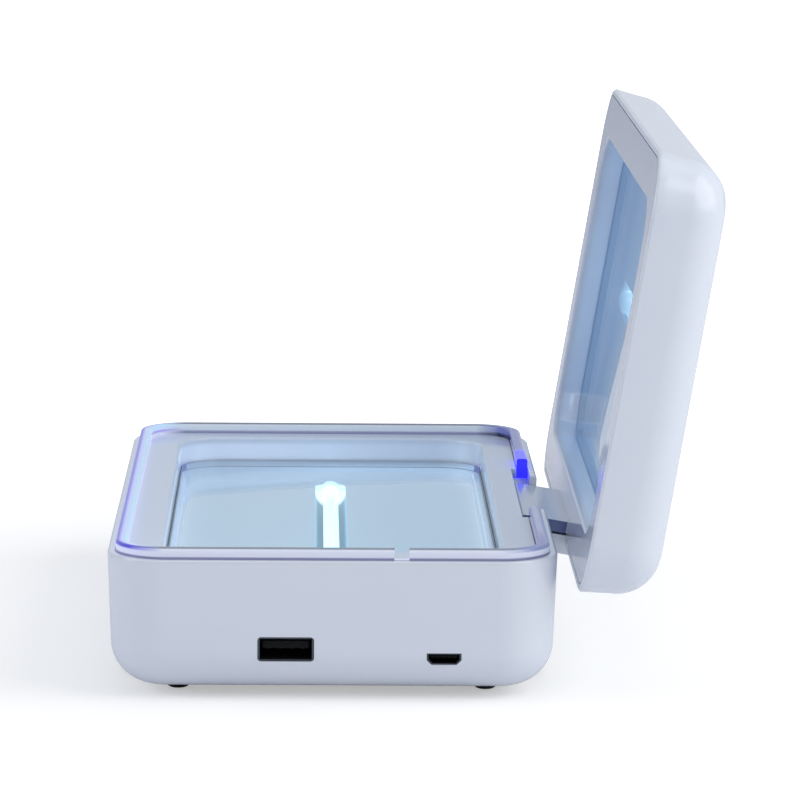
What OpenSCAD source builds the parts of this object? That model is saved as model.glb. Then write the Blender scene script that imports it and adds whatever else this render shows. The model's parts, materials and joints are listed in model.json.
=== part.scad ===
// Sanitizer box for phones: a base and a hinged lid, each with a lamp behind a window.
// +Z is up, X runs along the hinge, the opening side faces -Y, and Z = 0 is the table.
// Each half is drawn in its own frame: Z = 0 is its flange face and -Z goes into the half.

/* [Housing] */
// Length of the housing along the hinge
body_length = 200; // [190:1:220]
// Width from the opening side to the hinge side
body_width = 112; // [108:1:124]
// Radius of the four corners seen from above
corner_radius = 15; // [15:0.5:17]
// Height of the base from its underside to its rim
base_height = 33.3; // [33:0.1:40]
// Depth of the lid from its rim to its outer face
lid_depth = 18.8; // [18.8:0.1:24]
// Radius of the rounded outer edge
edge_round = 11; // [9:0.5:11.5]
// How far the walls draw in from the rim to the rounded edge
wall_draft = 0.8; // [0.4:0.1:1.2]
// Thickness of the housing walls
wall = 1.8; // [1.6:0.1:2]
// Thickness of the base's floor
floor_thick = 2.4; // [2:0.1:3]

/* [Light ring] */
// Width of the clear ring
ring_width = 3; // [2.4:0.1:3.4]
// Height that the ring stands above the rim
ring_rise = 2.8; // [2:0.1:3.6]
// Depth that the ring sits below the rim
ring_sink = 2.5; // [2:0.1:3]
// Radius of the ring's upper edges
ring_round = 0.7; // [0.3:0.1:1]
// Width of the cable notch in the ring's near end
notch_width = 3.7; // [3:0.1:5]
// Distance of the cable notch from the middle line, towards the hinge
notch_offset = 17; // [10:0.5:22]

/* [Compartment] */
// Width of the flange at each end of the compartment
end_flange = 13; // [13:0.5:17]
// Width of the flange along the front and the back of the compartment
side_flange = 13.4; // [13.4:0.1:16]
// Radius of the compartment's corners
opening_radius = 12; // [10:0.5:14]
// Depth of the window below the flange
window_depth = 6.25; // [5:0.25:6.5]
// Thickness of the window plate
window_thick = 2; // [1.5:0.1:2.2]
// Thickness of the tray's walls and flange
tray_thick = 1.6; // [1.4:0.1:1.8]
// Width of the ledge that carries the window
ledge_width = 2; // [1.6:0.1:2.4]

/* [Lamp] */
// Diameter of the lamp tube
lamp_diameter = 4.2; // [3.6:0.1:4.4]
// Distance from each end of the compartment to the lamp
lamp_margin = 11; // [10:0.5:14]
// Radius of the reflector's trough
trough_radius = 4.25; // [4:0.05:4.3]
// Distance from each end of the compartment to the centre of the trough's round end
trough_margin = 12; // [11:0.5:13]

/* [Hinge] */
// Lid angle from closed to the open stop, in degrees
lid_open = 99.46; // [95:0.01:102]
// Distance of the hinge pin inside the housing's back face
pin_inset = 2.85; // [2.7:0.05:3]
// Distance of the hinge pin below the base's rim
pin_drop = 5.5; // [5.4:0.1:5.8]
// Diameter of the hinge pin
pin_diameter = 3; // [2.5:0.1:3]
// Width of the hinge arm along the pin
arm_width = 49; // [44:1:52]
// Distance that the arm stands out behind the lid's back face
arm_proud = 2.4; // [2:0.1:2.6]
// Thickness of the arm's inner half
arm_inner = 3.05; // [2.8:0.05:3.1]
// Width of the joint line between the arm's halves
arm_joint = 0.6; // [0.4:0.1:0.8]
// Length of the slot for the hinge along the back
slot_length = 74; // [74:1:80]
// Thickness of each friction washer
washer_thick = 0.4; // [0.3:0.05:0.5]

/* [Ports] */
// Width of the large port's cut-out
usb_a_width = 14; // [13.6:0.1:15]
// Height of the large port's cut-out
usb_a_height = 6.2; // [6:0.1:7]
// Distance of the large port from the middle line, towards the front
usb_a_offset = 11.5; // [8:0.5:16]
// Height of the large port's middle above the underside
usb_a_z = 11.1; // [10.5:0.1:12]
// Width of the small port's cut-out
micro_width = 8.6; // [8.2:0.1:9.4]
// Height of the small port's cut-out
micro_height = 3; // [2.9:0.1:3.4]
// Distance of the small port from the middle line, towards the hinge
micro_offset = 27.6; // [22:0.5:30]
// Height of the small port's middle above the underside
micro_z = 8.8; // [8.6:0.1:9.4]

/* [Button and feet] */
// Diameter of the start button
button_diameter = 9; // [7:0.5:11]
// Travel of the start button
button_travel = 0.6; // [0.3:0.1:0.8]
// Height of the start button above the underside
button_z = 19; // [18:0.5:20]
// Diameter of a foot
foot_diameter = 6; // [5:0.2:9]
// Height of a foot below the underside
foot_height = 2.5; // [1.5:0.1:3.5]
// Distance of the feet from each end of the housing
foot_inset_x = 20; // [17:0.5:25]
// Distance of the feet from the front and the back of the housing
foot_inset_y = 17.5; // [16:0.5:23]

/* [Hidden] */
$fn = 64;

fit_gap = 0.1;          // between parts that are pushed together
slide_gap = 0.08;       // round the button
run_gap = 0.05;         // round the hinge pin, each side
press_gap = 0.02;       // round the hinge pin in the lugs
stop_gap = 0.65;        // below the arm's heel in the housing's notch
side_gap = 0.5;         // between the arm and each lug, filled by a washer
rest_gap = 0.2;         // between the closed lid and the light ring
slot_gap = 0.4;         // between the arm and the tray's slot
eps = 0.01;             // how far cutting shapes pass through

underside = foot_height;
rim = underside + base_height;
opening_length = body_length - 2 * end_flange;
opening_width = body_width - 2 * side_flange;
lamp_length = opening_length - 2 * lamp_margin;
trough_length = opening_length - 2 * trough_margin;
foot_x = body_length / 2 - foot_inset_x;
foot_y = body_width / 2 - foot_inset_y;
inner_corner = corner_radius - wall;
corner_x = body_length / 2 - corner_radius;
corner_y = body_width / 2 - corner_radius;
back = body_width / 2;

pin_y = back - pin_inset;
pin_z = rim - pin_drop;
lid_face = rim + ring_rise + rest_gap;
arm_outer_face = back + arm_proud;
arm_inner_face = pin_y - arm_joint / 2 - arm_inner;
arm_reach = 3.9;        // of the arm's inner half below the pin
heel_radius = pin_inset + arm_proud;
slot_edge = arm_inner_face - slot_gap;
wall_notch_z = pin_z - heel_radius - stop_gap;
lug_below = 4;          // of a lug below the pin
lug_height = 7;
lug_start = arm_width / 2 + side_gap;
lug_width = slot_length / 2 - lug_start - 2 * fit_gap;
pin_length = 2 * (lug_start + lug_width) - 1;

parting_gap = 0.3;      // between a tray's edge and the housing round it
ring_inset = wall + 2 * fit_gap;
flange_inset = ring_inset + ring_width + fit_gap;
tray_inset = wall + parting_gap;
leg_length = 3;         // of the ring's end leg along the slot
leg_drop = 6;           // how far the leg reaches below the rim
leg_centre = slot_length / 2 + fit_gap + leg_length / 2;
leg_relief = 0.3;       // between the leg's back and the ring's, for the wall's draft
led_height = 1.2;
shelf_length = 3.8;     // of the shelf that carries a light source
shelf_height = 2;

ledge_top = -window_depth - window_thick;
ledge_thick = 1.2;
reflector_top = ledge_top - ledge_thick;
reflector_floor = -11.8;
reflector_wall = 0.8;
lamp_z = reflector_floor - 0.8;

post_x = body_length / 2 - 38;
post_y = back - 6.8;
post_radius = 4;
post_split = 13;        // height of the joint between the shell's posts and the tray's bosses
well_depth = 3.2;
screw_radius = 1.45;
screw_length = 16;
head_radius = 2.8;
head_height = 2;

board_thick = 1.6;
board_z = underside + 5.7;
standoff_radius = 2.5;
board_length = 52;
board_width = 70;
board_shift = 5;
board_end = body_length / 2 - 5.2;
mouth_inset = 0.4;      // of each socket behind the end wall's face
port_round = 0.9;       // radius of the large port's corners
mouth_x = body_length / 2 - wall_draft - mouth_inset;
tongue_inset = 1.5;     // of a socket's tongue behind its mouth

foot_seat = 0.8;        // depth that a foot sits in the floor

button_y = -(back - wall_draft * (base_height - button_z) / (base_height - edge_round));
button_rise = 0.8;      // of the button's face in front of the wall
button_flange = 1.2;
flange_y = button_y + wall + 0.4;
stem_radius = 1.5;
switch_y = flange_y + button_flange + button_travel + 0.3;
switch_size = 6;
switch_depth = 3.5;
switch_board_y = switch_y + switch_depth;
switch_board_thick = 1.2;
switch_board_z = underside + floor_thick + 1.6;
board_half = 8;
groove_wall = 1.8;      // round the switch board's groove
groove_height = 4.8;
magnet_x = 20;
sensor_length = 8;
sensor_width = 4;
sensor_height = 2;
magnet_y = back - flange_inset - tray_thick - sensor_width / 2 - fit_gap;
driver_x = -0.24 * body_length;
driver_length = 44;
driver_width = 24;
driver_height = 9;

/* Shapes that both halves share */

// Outer profile of a half's corner, radius outwards and Z = 0 at the rim
module outer_profile(height) {
    lower = corner_radius - wall_draft;
    rim_round = 0.6;
    translate([0, -height])
        square([lower - edge_round, edge_round]);
    intersection() {
        translate([lower - edge_round, edge_round - height])
            circle(edge_round);
        translate([lower - edge_round, -height])
            square(edge_round);
    }
    polygon([[0, edge_round - height], [lower, edge_round - height], [corner_radius, -rim_round],
        [corner_radius - rim_round, 0], [0, 0]]);
}

// Space inside a half, with the wall's thickness left all round
module inner_profile(height, end_thick) {
    lower = corner_radius - wall_draft - wall;
    round_in = edge_round - wall;
    depth = height - end_thick;
    translate([0, -depth])
        square([lower - round_in, round_in]);
    intersection() {
        translate([lower - round_in, round_in - depth])
            circle(round_in);
        translate([lower - round_in, -depth])
            square(round_in);
    }
    polygon([[0, round_in - depth], [lower, round_in - depth], [inner_corner, 0],
        [inner_corner, 1], [0, 1]]);
}

// Sweeps a corner profile round a rectangle whose corner centres are at cx, cy
module sweep_round(cx, cy) {
    for (turn = [0 : 3])
        translate([(turn == 0 || turn == 3) ? cx : -cx, (turn < 2) ? cy : -cy, 0])
            rotate([0, 0, 90 * turn])
                rotate_extrude(angle = 90)
                    children();
    for (side = [-1, 1]) {
        translate([0, side * cy, 0])
            rotate([90, 0, side * 90])
                translate([0, 0, -cx])
                    linear_extrude(2 * cx)
                        children();
        translate([side * cx, 0, 0])
            rotate([90, 0, side > 0 ? 0 : 180])
                translate([0, 0, -cy])
                    linear_extrude(2 * cy)
                        children();
    }
}

// Flat outline with round corners
module plate_outline(length, width, radius) {
    for (sx = [-1, 1], sy = [-1, 1])
        translate([sx * (length / 2 - radius), sy * (width / 2 - radius)])
            circle(radius);
    square([length, width - 2 * radius], center = true);
    square([length - 2 * radius, width], center = true);
}

// Outline of the housing drawn in by a distance
module inset_outline(inset) {
    plate_outline(body_length - 2 * inset, body_width - 2 * inset, corner_radius - inset);
}

// Solid outer form of a half
module outer_form(height) {
    sweep_round(corner_x, corner_y)
        outer_profile(height);
    translate([-corner_x, -corner_y, -height])
        cube([2 * corner_x, 2 * corner_y, height]);
}

// Space inside a half, open at the rim
module inner_form(height, end_thick) {
    sweep_round(corner_x, corner_y)
        inner_profile(height, end_thick);
    translate([-corner_x, -corner_y, end_thick - height])
        cube([2 * corner_x, 2 * corner_y, height - end_thick + 1]);
}

// Sweeps a profile round the compartment opening
module sweep_opening() {
    sweep_round(opening_length / 2 - opening_radius, opening_width / 2 - opening_radius)
        children();
}

// Flange, compartment walls and window ledge of a tray, its flange edge drawn in by a distance
module tray_pan(inset) {
    lip_round = 0.8;
    blend = 3;
    translate([0, 0, -tray_thick])
        linear_extrude(tray_thick)
            difference() {
                inset_outline(inset);
                plate_outline(opening_length + 2 * blend - 1, opening_width + 2 * blend - 1,
                    opening_radius + blend - 0.5);
            }
    sweep_opening() {
        translate([opening_radius, reflector_top])
            square([tray_thick, -reflector_top - lip_round]);
        translate([opening_radius + lip_round, -lip_round])
            circle(lip_round);
        translate([opening_radius + lip_round, -tray_thick])
            square([blend - lip_round, tray_thick]);
        translate([opening_radius - ledge_width, reflector_top])
            square([ledge_width + tray_thick, ledge_thick]);
    }
}

// Window plate lying on a tray's ledge
module window_plate() {
    translate([0, 0, ledge_top])
        linear_extrude(window_thick)
            plate_outline(opening_length - 2 * fit_gap, opening_width - 2 * fit_gap,
                opening_radius - fit_gap);
}

// Round-ended rod along X
module capsule(radius, span) {
    rotate([0, 90, 0])
        cylinder(r = radius, h = span, center = true);
    for (end = [-1, 1])
        translate([end * span / 2, 0, 0])
            sphere(radius);
}

// Reflector pan with the lamp's trough, hung under the ledge
module reflector_pan() {
    pan_radius = opening_radius - ledge_width;
    difference() {
        union() {
            sweep_opening() {
                translate([pan_radius - reflector_wall, reflector_floor - reflector_wall])
                    square([reflector_wall, reflector_top - reflector_floor + reflector_wall]);
                translate([pan_radius - reflector_wall, reflector_top - reflector_wall])
                    square([ledge_width + tray_thick, reflector_wall]);
            }
            translate([0, 0, reflector_floor - reflector_wall])
                linear_extrude(reflector_wall)
                    plate_outline(opening_length - 2 * ledge_width, opening_width - 2 * ledge_width,
                        pan_radius);
            intersection() {
                translate([0, 0, reflector_floor])
                    capsule(trough_radius + reflector_wall, trough_length);
                translate([-opening_length / 2, -opening_width / 2, reflector_floor - 2 * trough_radius])
                    cube([opening_length, opening_width, 2 * trough_radius]);
            }
        }
        translate([0, 0, reflector_floor])
            capsule(trough_radius, trough_length);
    }
}

// Lamp tube lying in the trough
module lamp_tube() {
    translate([0, 0, lamp_z])
        capsule(lamp_diameter / 2, lamp_length - lamp_diameter);
}

// Soft holder that seats a lamp in the trough, on the side given by its sign
module lamp_holder(side) {
    holder_thick = 3;
    holder_wall = 0.9;
    holder_x = side * (trough_length / 2 - 5);
    difference() {
        union() {
            intersection() {
                translate([holder_x, 0, reflector_floor])
                    rotate([0, 90, 0])
                        cylinder(r = trough_radius - run_gap, h = holder_thick, center = true);
                translate([holder_x - holder_thick, -trough_radius, reflector_floor - 2 * trough_radius])
                    cube([2 * holder_thick, 2 * trough_radius, 2 * trough_radius]);
            }
            translate([holder_x, 0, lamp_z])
                rotate([0, 90, 0])
                    cylinder(r = lamp_diameter / 2 + holder_wall, h = holder_thick, center = true);
        }
        translate([holder_x, 0, lamp_z])
            rotate([0, 90, 0])
                cylinder(r = lamp_diameter / 2 + run_gap, h = 2 * holder_thick, center = true);
    }
}

/* Places of the two halves */

// From a half's own frame to the base
module in_base() {
    translate([0, 0, rim])
        children();
}

// From a half's own frame to the open lid
module in_lid() {
    translate([0, pin_y, pin_z])
        rotate([-lid_open, 0, 0])
            translate([0, -pin_y, lid_face - pin_z])
                mirror([0, 0, 1])
                    children();
}

// The four screw places, or one of them
module at_post(index) {
    sx = index % 2 == 0 ? 1 : -1;
    sy = index < 2 ? 1 : -1;
    translate([sx * post_x, sy * post_y, 0])
        children();
}

/* Base */

// Posts, standoffs, hinge lugs and shelves moulded into the base
module base_features() {
    for (index = [0 : 3])
        at_post(index)
            translate([0, 0, underside])
                cylinder(r = post_radius, h = post_split);
    for (sx = [-1, 1], sy = [-1, 1])
        translate([board_end - board_length / 2 + sx * (board_length / 2 - 4),
            board_shift + sy * (board_width / 2 - 4), underside])
            cylinder(r = standoff_radius, h = board_z - underside);
    for (side = [-1, 1])
        translate([side * (lug_start + lug_width / 2), 0, 0])
            translate([-lug_width / 2, slot_edge + 2 * fit_gap, pin_z - lug_below])
                cube([lug_width, back - slot_edge - 1, lug_height]);
    for (side = [-1, 1])
        translate([side * leg_centre - shelf_length / 2, slot_edge + 2 * fit_gap,
            rim - leg_drop - led_height - shelf_height])
            cube([shelf_length, back - slot_edge - 1, shelf_height - fit_gap]);
    translate([-board_half - groove_wall, switch_board_y - groove_wall, underside])
        cube([2 * (board_half + groove_wall), 2 * groove_wall + switch_board_thick, groove_height]);
}

// Holes and recesses cut through the base's walls
module base_cuts() {
    port_start = board_end - 2;
    port_reach = 20;
    translate([-arm_width / 2 - side_gap, pin_y, wall_notch_z])
        cube([arm_width + 2 * side_gap, 2 * corner_radius, base_height]);
    translate([-pin_length / 2, pin_y, pin_z])
        rotate([0, 90, 0])
            cylinder(r = pin_diameter / 2 + press_gap, h = pin_length);
    for (index = [0 : 3])
        at_post(index) {
            translate([0, 0, underside - 1])
                cylinder(r = head_radius + 0.4, h = well_depth + 1);
            cylinder(r = screw_radius + 0.2, h = rim / 2);
        }
    for (sx = [-1, 1], sy = [-1, 1])
        translate([sx * foot_x, sy * foot_y, underside - 1])
            cylinder(r = foot_diameter / 2 + fit_gap, h = foot_seat + 1);
    translate([port_start, -usb_a_offset, underside + usb_a_z])
        rotate([90, 0, 90])
            linear_extrude(port_reach)
                plate_outline(usb_a_width, usb_a_height, port_round);
    translate([port_start, micro_offset, underside + micro_z])
        rotate([90, 0, 90])
            linear_extrude(port_reach)
                micro_outline(micro_width, micro_height);
    translate([0, -back - 1, underside + button_z])
        rotate([-90, 0, 0])
            cylinder(r = button_diameter / 2 + slide_gap, h = 6);
    translate([-board_half - fit_gap, switch_board_y - fit_gap, switch_board_z])
        cube([2 * (board_half + fit_gap), switch_board_thick + 2 * fit_gap, base_height / 2]);
}

// Small port outline, its lower corners cut off
module micro_outline(width, height) {
    slope = height * 0.4;
    low = -height / 2;
    side = width / 2;
    polygon([[-side, -low], [side, -low], [side, low + slope], [side - slope, low], [slope - side, low],
        [-side, low + slope]]);
}

module base_shell() {
    color("#eef1f8")
        difference() {
            union() {
                difference() {
                    in_base() outer_form(base_height);
                    in_base() inner_form(base_height, floor_thick);
                }
                intersection() {
                    base_features();
                    in_base() outer_form(base_height);
                }
            }
            base_cuts();
        }
}

module base_tray() {
    leg_room = slot_length / 2 + leg_length + 0.4;
    wall_radius = corner_radius - flange_inset - tray_thick;
    wall_face = corner_y + wall_radius - fit_gap;
    boss_height = base_height - post_split - ring_sink - 0.5;
    pilot_depth = screw_length - post_split + well_depth + 3;
    color("#d9dff0")
        in_base()
            difference() {
                union() {
                    tray_pan(flange_inset + tray_thick / 2);
                    sweep_round(corner_x, corner_y) {
                        translate([wall_radius, -ring_sink - tray_thick])
                            square([tray_thick, ring_sink + tray_thick]);
                        translate([wall_radius + eps, -ring_sink - tray_thick])
                            square([corner_radius - tray_inset - wall_radius - eps, tray_thick]);
                    }
                    for (index = [0 : 3])
                        at_post(index)
                            translate([0, 0, post_split - base_height])
                                cylinder(r = post_radius - 0.6, h = boss_height);
                }
                translate([-slot_length / 2, slot_edge, -2 * ring_sink])
                    cube([slot_length, 2 * corner_radius, 4 * ring_sink]);
                translate([-slot_length / 2, wall_face, -3 * ring_sink])
                    cube([slot_length, 2 * corner_radius, 3 * ring_sink - tray_thick]);
                translate([-leg_room, wall_face, -3 * ring_sink])
                    cube([2 * leg_room, 2 * corner_radius, 2 * ring_sink]);
                for (index = [0 : 3])
                    at_post(index)
                        translate([0, 0, post_split - base_height - 1])
                            cylinder(r = screw_radius + run_gap, h = pilot_depth);
            }
}

module light_ring() {
    outer = corner_radius - ring_inset;
    inner = outer - ring_width;
    leg_depth = back - ring_inset - leg_relief - slot_edge - 2 * fit_gap;
    color("#8f93f5")
        in_base()
            union() {
                difference() {
                    sweep_round(corner_x, corner_y) {
                        translate([inner, -ring_sink])
                            square([ring_width, ring_sink + ring_rise - ring_round]);
                        for (centre = [inner + ring_round, outer - ring_round])
                            translate([centre, ring_rise - ring_round])
                                circle(ring_round);
                        translate([inner + ring_round, 0])
                            square([ring_width - 2 * ring_round, ring_rise]);
                    }
                    translate([-slot_length / 2 - fit_gap, 0, -2 * ring_sink])
                        cube([slot_length + 2 * fit_gap, back, 4 * ring_sink + ring_rise]);
                    translate([body_length / 2 - 2 * corner_radius, notch_offset - notch_width / 2, 0])
                        cube([2 * corner_radius, notch_width, 2 * ring_rise]);
                }
                for (side = [-1, 1])
                    translate([side * leg_centre - leg_length / 2, slot_edge + 2 * fit_gap, -leg_drop])
                        cube([leg_length, leg_depth, leg_drop - ring_sink - fit_gap]);
                for (side = [-1, 1])
                    translate([side * leg_centre - leg_length / 2, back - ring_inset - ring_width, -leg_drop])
                        cube([leg_length, ring_width - leg_relief, leg_drop]);
            }
}

module base_window() {
    color("#bfe3e6") in_base() window_plate();
}

module base_reflector() {
    color("#dfe9f2") in_base() reflector_pan();
}

module base_lamp() {
    color("#f4ffff") in_base() lamp_tube();
}

module base_lamp_holder_near() {
    color("#c9ced6") in_base() lamp_holder(1);
}

module base_lamp_holder_far() {
    color("#c9ced6") in_base() lamp_holder(-1);
}

// Light source under one leg of the ring
module ring_led(side) {
    led_width = 2.6;
    color("#3b3bff")
        translate([side * leg_centre - leg_length / 2, slot_edge + 1, rim - leg_drop - led_height - fit_gap])
            cube([leg_length, led_width, led_height]);
}

module ring_led_near() {
    ring_led(1);
}

module ring_led_far() {
    ring_led(-1);
}

module main_board() {
    color("#1f6b3a")
        difference() {
            translate([board_end - board_length, board_shift - board_width / 2, board_z])
                cube([board_length, board_width, board_thick]);
            for (sx = [-1, 1], sy = [-1, 1])
                translate([board_end - board_length / 2 + sx * (board_length / 2 - 4),
                    board_shift + sy * (board_width / 2 - 4), board_z - 1])
                    cylinder(r = 1.2, h = board_thick + 2);
        }
}

// Tongue of a socket and the block that stands on the board, behind the socket's mouth
module socket_inside(width, height, depth, skin, tongue, centre_z, offset_y) {
    start_x = mouth_x - depth;
    seat_z = board_z + board_thick;
    translate([start_x, offset_y - width / 2 + 3 * skin, centre_z + height / 2 - 3 * skin - tongue])
        cube([depth - tongue_inset, width - 6 * skin, tongue]);
    translate([start_x, offset_y - width / 2 + 3 * skin, seat_z])
        cube([depth / 2, width - 6 * skin, centre_z - height / 2 + skin - seat_z]);
}

module usb_a_socket() {
    can_width = usb_a_width - 0.6;
    can_height = usb_a_height - 0.5;
    depth = 14;
    skin = 0.35;
    centre_z = underside + usb_a_z;
    color("#b9bcc2") {
        difference() {
            translate([mouth_x - depth, -usb_a_offset - can_width / 2, centre_z - can_height / 2])
                cube([depth, can_width, can_height]);
            translate([mouth_x - depth + 1, skin - usb_a_offset - can_width / 2, centre_z - can_height / 2 + skin])
                cube([depth, can_width - 2 * skin, can_height - 2 * skin]);
        }
        socket_inside(can_width, can_height, depth, skin, 1.8, centre_z, -usb_a_offset);
    }
}

module micro_usb_socket() {
    can_width = micro_width - 0.6;
    can_height = micro_height - 0.4;
    depth = 6;
    skin = 0.25;
    centre_z = underside + micro_z;
    color("#b9bcc2") {
        translate([mouth_x - depth, micro_offset, centre_z])
            rotate([90, 0, 90])
                difference() {
                    linear_extrude(depth)
                        micro_outline(can_width, can_height);
                    translate([0, 0, 1])
                        linear_extrude(depth)
                            micro_outline(can_width - 2 * skin, can_height - 2 * skin);
                }
        socket_inside(can_width, can_height, depth, skin, 0.6, centre_z, micro_offset);
    }
}

// Potted block that feeds the lamps, standing on the floor
module lamp_driver() {
    color("#3a3d44")
        translate([driver_x - driver_length / 2, -driver_width / 2, underside + floor_thick])
            cube([driver_length, driver_width, driver_height]);
}

// Sensor that feels the lid's magnet, under the front flange
module lid_sensor() {
    color("#26292e")
        in_base()
            translate([magnet_x, -magnet_y, -tray_thick - sensor_height / 2])
                cube([sensor_length, sensor_width, sensor_height], center = true);
}

module switch_board() {
    board_top = underside + button_z + switch_size / 2 + 2;
    color("#1f6b3a")
        translate([-board_half, switch_board_y, switch_board_z])
            cube([2 * board_half, switch_board_thick, board_top - switch_board_z]);
}

module switch_body() {
    color("#2b2d31")
        difference() {
            translate([-switch_size / 2, switch_y, underside + button_z - switch_size / 2])
                cube([switch_size, switch_depth, switch_size]);
            translate([0, switch_y - 1, underside + button_z])
                rotate([-90, 0, 0])
                    cylinder(r = stem_radius + 2 * fit_gap, h = 3.2);
        }
}

// Button cap with its inner flange and the stem that works the switch
module start_button() {
    cap_length = button_rise + wall + 0.5;
    color("#f2f4f9")
        translate([0, 0, underside + button_z])
            rotate([-90, 0, 0]) {
                translate([0, 0, button_y - button_rise])
                    rotate_extrude() {
                        square([button_diameter / 2 - 0.6, cap_length]);
                        translate([button_diameter / 2 - 0.6, 0.6])
                            circle(0.6);
                        translate([0, 0.6])
                            square([button_diameter / 2, cap_length - 0.6]);
                    }
                translate([0, 0, flange_y])
                    cylinder(d = button_diameter + 3, h = button_flange);
                translate([0, 0, flange_y])
                    cylinder(r = stem_radius, h = switch_y - flange_y + 1);
            }
}

// Hinge pin held by the two lugs
module hinge_pin() {
    color("#aeb2b8")
        translate([-pin_length / 2, pin_y, pin_z])
            rotate([0, 90, 0])
                cylinder(d = pin_diameter, h = pin_length);
}

// Washer lying against a lug
module friction_washer(side) {
    color("#9a9ea6")
        translate([side * (lug_start - washer_thick / 2) - washer_thick / 2, pin_y, pin_z])
            rotate([0, 90, 0])
                difference() {
                    cylinder(d = pin_diameter + 3.6, h = washer_thick);
                    translate([0, 0, -1])
                        cylinder(r = pin_diameter / 2 + run_gap, h = washer_thick + 2);
                }
}

module washer_near() {
    friction_washer(1);
}

module washer_far() {
    friction_washer(-1);
}

// Domed rubber foot, its top seated in the floor
module foot(sx, sy) {
    radius = foot_diameter / 2;
    foot_round = min(radius / 2 - eps, foot_height - 0.2);
    color("#1d1e21")
        translate([sx * foot_x, sy * foot_y, 0])
            rotate_extrude() {
                square([radius - foot_round, foot_height + foot_seat]);
                translate([0, foot_round])
                    square([radius, foot_height + foot_seat - foot_round]);
                translate([radius - foot_round, foot_round])
                    circle(foot_round);
            }
}

module foot_1() {
    foot(1, 1);
}

module foot_2() {
    foot(-1, 1);
}

module foot_3() {
    foot(1, -1);
}

module foot_4() {
    foot(-1, -1);
}

// Screw from below, its head in the well and its thread in the tray's boss
module case_screw(index) {
    color("#8d9097")
        at_post(index)
            translate([0, 0, underside + well_depth]) {
                translate([0, 0, -head_height])
                    difference() {
                        cylinder(r = head_radius, h = head_height);
                        translate([0, 0, -1])
                            for (turn = [0, 90])
                                rotate([0, 0, turn])
                                    translate([-1.7, -0.35, 0])
                                        cube([3.4, 0.7, 2]);
                    }
                cylinder(r = screw_radius, h = screw_length);
            }
}

module case_screw_1() {
    case_screw(0);
}

module case_screw_2() {
    case_screw(1);
}

module case_screw_3() {
    case_screw(2);
}

module case_screw_4() {
    case_screw(3);
}

/* Lid, drawn with its flange face at Z = 0 and the hinge arm rising above it */

// Extrudes a profile in Y and Z along the arm's width
module along_arm() {
    rotate([90, 0, 90])
        translate([0, 0, -arm_width / 2])
            linear_extrude(arm_width)
                children();
}

// Running bore round the hinge pin
module arm_bore() {
    translate([-arm_width, pin_y, lid_face - pin_z])
        rotate([0, 90, 0])
            cylinder(r = pin_diameter / 2 + run_gap, h = 2 * arm_width);
}

module lid_shell() {
    split = pin_y + arm_joint / 2;
    pin_rise = lid_face - pin_z;
    gusset = 8;
    color("#eef1f8")
        in_lid()
            difference() {
                union() {
                    difference() {
                        outer_form(lid_depth);
                        inner_form(lid_depth, wall);
                    }
                    intersection() {
                        for (index = [0 : 3])
                            at_post(index)
                                translate([0, 0, -lid_depth])
                                    cylinder(r = post_radius - 1, h = lid_depth - tray_thick);
                        outer_form(lid_depth);
                    }
                    along_arm() {
                        translate([split, -tray_thick])
                            square([arm_outer_face - split, pin_rise + tray_thick]);
                        intersection() {
                            translate([pin_y, pin_rise])
                                circle(heel_radius);
                            translate([split, pin_rise - eps])
                                square([heel_radius, heel_radius + 1]);
                        }
                        polygon([[back - wall, 0], [arm_outer_face, 0], [arm_outer_face, -tray_thick],
                            [back - wall_draft - 0.4, -gusset], [back - wall, -gusset]]);
                    }
                }
                arm_bore();
            }
}

module lid_tray() {
    pin_rise = lid_face - pin_z;
    end_round = 0.8;
    split = pin_y + arm_joint / 2;
    color("#d3d8ea")
        in_lid()
            difference() {
                union() {
                    difference() {
                        tray_pan(tray_inset);
                        translate([-arm_width / 2 - fit_gap, split - fit_gap, -2 * tray_thick])
                            cube([arm_width + 2 * fit_gap, corner_radius, 4 * tray_thick]);
                    }
                    along_arm() {
                        translate([arm_inner_face, -tray_thick / 2])
                            square([arm_inner, pin_rise + tray_thick / 2 + arm_reach - end_round]);
                        translate([arm_inner_face + end_round, 0])
                            square([arm_inner - end_round, pin_rise + arm_reach]);
                        translate([arm_inner_face + end_round, pin_rise + arm_reach - end_round])
                            circle(end_round);
                    }
                }
                arm_bore();
            }
}

module lid_window() {
    color("#a9cfe0") in_lid() window_plate();
}

module lid_reflector() {
    color("#c6d3e4") in_lid() reflector_pan();
}

module lid_lamp() {
    color("#f4ffff") in_lid() lamp_tube();
}

module lid_lamp_holder_near() {
    color("#c9ced6") in_lid() lamp_holder(1);
}

module lid_lamp_holder_far() {
    color("#c9ced6") in_lid() lamp_holder(-1);
}

// Magnet on the lid tray's inner face, over the base's sensor
module lid_magnet() {
    magnet_size = [12, 5, 2];
    color("#7d8087")
        in_lid()
            translate([magnet_x, -magnet_y, -tray_thick - magnet_size[2] / 2])
                cube(magnet_size, center = true);
}

base_shell();
base_tray();
light_ring();
base_window();
base_reflector();
base_lamp();
base_lamp_holder_near();
base_lamp_holder_far();
ring_led_near();
ring_led_far();
main_board();
usb_a_socket();
micro_usb_socket();
lamp_driver();
lid_sensor();
switch_board();
switch_body();
start_button();
hinge_pin();
washer_near();
washer_far();
foot_1();
foot_2();
foot_3();
foot_4();
case_screw_1();
case_screw_2();
case_screw_3();
case_screw_4();
lid_shell();
lid_tray();
lid_window();
lid_reflector();
lid_lamp();
lid_lamp_holder_near();
lid_lamp_holder_far();
lid_magnet();
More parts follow.
